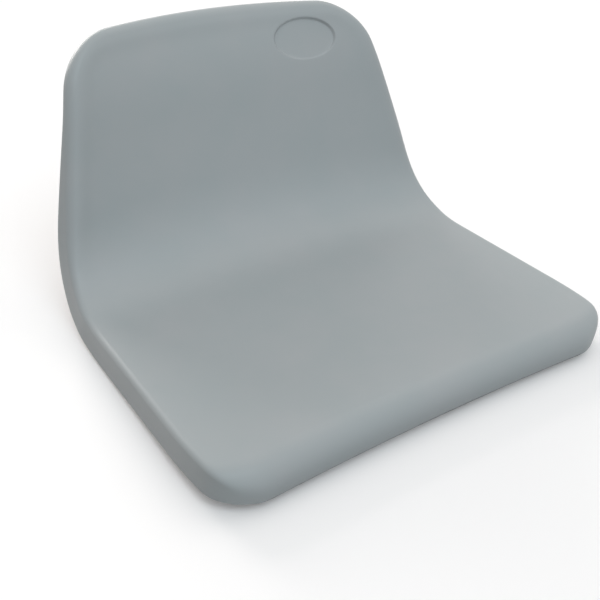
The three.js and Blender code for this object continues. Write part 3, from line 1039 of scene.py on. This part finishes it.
def makeScrew():
    across = screw["headWidth"] / 2
    corner = across / math.cos(math.pi / 6)
    bpy.ops.mesh.primitive_cylinder_add(
        vertices=6, radius=corner * mm, depth=(screw["headTop"] - screw["headBottom"]) * mm,
        location=(0, 0, (screw["headTop"] + screw["headBottom"]) / 2 * mm))
    piece = started("screw")
    flat, wide = across * screw["chamferShare"], corner + screw["spare"]
    rise = (wide - flat) * math.tan(math.radians(screw["headChamfer"]))
    bottom, above = screw["headBottom"], screw["headTop"] + screw["overlap"]
    blank = [(0, bottom), (flat, bottom), (wide, bottom + rise), (wide, above), (0, above)]
    combine(piece, turned("blank", blank, screw["headSteps"]), "INTERSECT")
    eased(piece, screw)
    ring = screw["pitch"] / screw["ringsPerPitch"]
    start, end = screw["headTop"] - screw["overlap"], screw["tip"] - screw["tipChamfer"]
    heights = np.arange(start, end, ring)
    blunt = screw["rootRadius"] - screw["tipDrop"]
    section = [(0, start)] + [(screw["crestRadius"], z) for z in heights]
    section += [(screw["crestRadius"], end), (blunt, screw["tip"]), (0, screw["tip"])]
    shank = turned("shank", section, screw["shankSteps"])

    def thread(angle, height, radius):
        share = threadHeight(angle, height, screw["pitch"])
        cut = mixed(screw["rootRadius"], screw["crestRadius"], share)
        neckEnd = screw["headTop"] + screw["plainNeck"]
        return np.where((radius > screw["rootRadius"]) & (height > neckEnd), cut, radius)

    reshapedRound(shank, thread)
    combine(piece, shank, "UNION")
    smooth(piece, screw["smoothAngle"])
    return piece


def ringLimits(values):
    return values["innerRadius"], values["outerRadius"], values["bottom"], values["top"]


def makeFlatWasher():
    inner, outer, low, high = ringLimits(flatWasher)
    section = [(inner, low), (outer, low), (outer, high), (inner, high)]
    piece = turned("washer", section, flatWasher["steps"])
    eased(piece, flatWasher)
    return piece


# the section is swept almost once round, and the ring twisted so that its slit leans
def makeLockWasher():
    inner, outer, low, high = ringLimits(lockWasher)
    meanRadius = (inner + outer) / 2
    gap = lockWasher["slit"] / meanRadius
    bpy.ops.mesh.primitive_plane_add(size=mm)
    piece = started("spring washer")
    start = Matrix.Rotation(gap / 2, 3, "Z")
    section = [(inner, low), (outer, low), (inner, high), (outer, high)]
    writePoints(piece, [start @ Vector((radius * mm, 0, height * mm)) for radius, height in section])
    pickAll(piece)
    bpy.ops.mesh.spin(
        steps=lockWasher["steps"], angle=2 * math.pi - gap, center=(0, 0, 0), axis=(0, 0, 1))
    leaveEdit()
    recalculated(piece)
    points = readPoints(piece)
    slope = math.tan(math.radians(lockWasher["slant"])) / meanRadius
    lean = (points[:, 2] / mm - (low + high) / 2) * slope
    x, y = points[:, :2].T.copy()
    points[:, 0] = x * np.cos(lean) - y * np.sin(lean)
    points[:, 1] = x * np.sin(lean) + y * np.cos(lean)
    writePoints(piece, points)
    eased(piece, lockWasher)
    return piece


def makeInsert():
    inner, outer, low, high = ringLimits(insert)
    groove, lead, ring = insert["grooveRadius"], insert["lead"], insert["ringHeight"]
    foot, head = low + insert["landHeight"], high - insert["landHeight"]
    boreRing = insert["pitch"] / insert["ringsPerPitch"]
    section = [(inner + lead, low), (outer - lead, low)]
    section += [(outer, z) for z in np.arange(low + lead, foot - ring / 2, ring)]
    section += [(outer, foot), (groove, foot + ring), (groove, head - ring), (outer, head)]
    section += [(outer, z) for z in np.arange(head + ring, high - lead - ring / 2, ring)]
    section += [(outer, high - lead), (outer - lead, high), (inner + lead, high)]
    section += [(inner, z) for z in np.arange(high - lead, low + lead / 2, -boreRing)]
    piece = turned("insert", section, insert["steps"])

    def knurled(angle, height, radius):
        lean = np.where(height < (low + high) / 2, insert["knurlLean"], -insert["knurlLean"])
        ridge = np.abs(((angle + lean * height) * insert["knurls"] / (2 * math.pi)) % 1 - 0.5) * 2
        cut = radius - insert["knurlDepth"] * ridge
        thread = radius + insert["threadDepth"] * (1 - threadHeight(angle, height, insert["pitch"]))
        return np.select([radius > outer - touch, radius < inner + touch], [cut, thread], radius)

    reshapedRound(piece, knurled)
    smooth(piece, insert["smoothAngle"])
    return piece


def placeFour(piece, stem, material, slot):
    for place in screwPlaces:
        node = stem + "_" + place
        x, y = middleOf(node)[:2]
        finished(copied(piece, node, (x, y, 0)), material, slot, node)
    bpy.data.objects.remove(piece)


placeFour(makeScrew(), "rail_screw", zincFinish, "zinc_plated_steel")
placeFour(makeFlatWasher(), "flat_washer", zincFinish, "zinc_plated_steel")
placeFour(makeLockWasher(), "lock_washer", zincFinish, "zinc_plated_steel")
placeFour(makeInsert(), "threaded_insert", brassFinish, "brass")
print("screws, washers and inserts ready")


# the floor, the light and the camera

stage = {
    "floorSize": 14000,
    "floorShade": "#fbf7f6",
    "floorGlow": 0.03,     # how much whiter the floor shows than its light alone makes it
    "skyShade": "#fafbfb",
    "skyAbove": 0.88,      # the sky's strength straight above, fading evenly to none at skyEnd
    "skyEnd": -0.76,       # sine of a height angle, so well below the horizon
    "lampSpread": 36,      # angle over which each soft light comes
    # each lamp's direction round the object from its front, height angle, strength and shade
    "lamps": {"front": (0, 60, 0.58, "#dcf4ff"), "low": (0, 14, 0.31, "#dcf4ff"),
              "behind": (179, 17, 1.95, "#fffbf6"), "right": (115, 57, 0.24, "#fff8f0"),
              "under": (0, -90, 0.8, "#ffffff")},
}


# 1 for what the eye sees, also in a gloss or through something clear, and 0 for soft light
def seenFactor(tree):
    path = addNode(tree, "LightPath")
    seen = addNode(tree, "Math", {0: path.outputs["Is Camera Ray"], 1: path.outputs["Is Glossy Ray"]},
                   operation="MAXIMUM")
    return addNode(tree, "Math", {0: seen.outputs[0], 1: path.outputs["Is Transmission Ray"]},
                   operation="MAXIMUM").outputs[0]


# white floor that takes the object's shadow; soft light and a view from below pass through it
def makeFloor(values):
    bpy.ops.mesh.primitive_plane_add(size=values["floorSize"] * mm)
    floor = started("floor")
    material = bpy.data.materials.new("white paper")
    material.use_nodes = True
    tree = material.node_tree
    tree.nodes.clear()
    paper = addNode(tree, "BsdfDiffuse", {"Color": colour(values["floorShade"])})
    glow = addNode(tree, "Emission", {"Strength": values["floorGlow"]})
    lit = addNode(tree, "AddShader", {0: paper.outputs[0], 1: glow.outputs[0]})
    fromBelow = addNode(tree, "NewGeometry").outputs["Backfacing"]
    shown = addNode(tree, "Math", {0: seenFactor(tree), 1: fromBelow}, operation="GREATER_THAN")
    clear = addNode(tree, "BsdfTransparent")
    surface = addNode(tree, "MixShader", {0: shown.outputs[0], 1: clear.outputs[0], 2: lit.outputs[0]})
    addNode(tree, "OutputMaterial", {"Surface": surface.outputs[0]})
    floor.data.materials.append(material)


# the direction from the object towards a place round it, azimuth 0 in front
def outward(azimuth, elevation):
    around, above = math.radians(azimuth), math.radians(elevation)
    flat = math.cos(above)
    return Vector((math.sin(around) * flat, -math.cos(around) * flat, math.sin(above)))


# even studio light: a plain pale sky, seen as white, and broad soft lamps
def makeLight(values):
    world = bpy.data.worlds.new("studio")
    bpy.context.scene.world = world
    world.use_nodes = True
    tree = world.node_tree
    tree.nodes.clear()
    height = addNode(tree, "SeparateXYZ", {"Vector": addNode(tree, "TexCoord").outputs["Generated"]})
    strength = addNode(tree, "MapRange", {
        "Value": height.outputs["Z"], "From Min": values["skyEnd"], "From Max": 1,
        "To Min": 0, "To Max": values["skyAbove"]})
    sky = addNode(tree, "Background", {
        "Color": colour(values["skyShade"]), "Strength": strength.outputs["Result"]})
    white = addNode(tree, "Background", {"Color": (1, 1, 1, 1)})
    seen = addNode(tree, "MixShader", {0: seenFactor(tree), 1: sky.outputs[0], 2: white.outputs[0]})
    addNode(tree, "OutputWorld", {"Surface": seen.outputs[0]})
    for name, (azimuth, elevation, strength, shade) in values["lamps"].items():
        lamp = bpy.data.lights.new(name, "SUN")
        lamp.energy = strength
        lamp.angle = math.radians(values["lampSpread"])
        lamp.color = colour(shade)[:3]
        light = bpy.data.objects.new(name, lamp)
        bpy.context.scene.collection.objects.link(light)
        light.rotation_euler = outward(azimuth, elevation).to_track_quat("Z", "Y").to_euler()


view = {
    "azimuth": -35.325,
    "elevation": 34.194,
    "roll": 2.986,
    "place": (-418.1, -573.5, 490.6),
    "lens": 49.625,
    "sensor": 36,
    "nearest": 10,
    "farthest": 50000,
}


def makeCamera(values):
    around = math.radians(values["azimuth"])
    back = outward(values["azimuth"], values["elevation"])
    roll = Matrix.Rotation(math.radians(values["roll"]), 3, back)
    right = roll @ Vector((math.cos(around), math.sin(around), 0))
    up = back.cross(right)
    camera = bpy.data.objects.new("camera", bpy.data.cameras.new("camera"))
    bpy.context.scene.collection.objects.link(camera)
    turn = Matrix((right, up, back)).transposed().to_4x4()
    camera.matrix_world = Matrix.Translation(Vector(values["place"]) * mm) @ turn
    camera.data.lens = values["lens"]
    camera.data.sensor_width = values["sensor"]
    camera.data.clip_start, camera.data.clip_end = values["nearest"] * mm, values["farthest"] * mm
    bpy.context.scene.camera = camera


makeFloor(stage)
makeLight(stage)
makeCamera(view)
bpy.context.scene.view_settings.view_transform = "Standard"
print("stage ready")
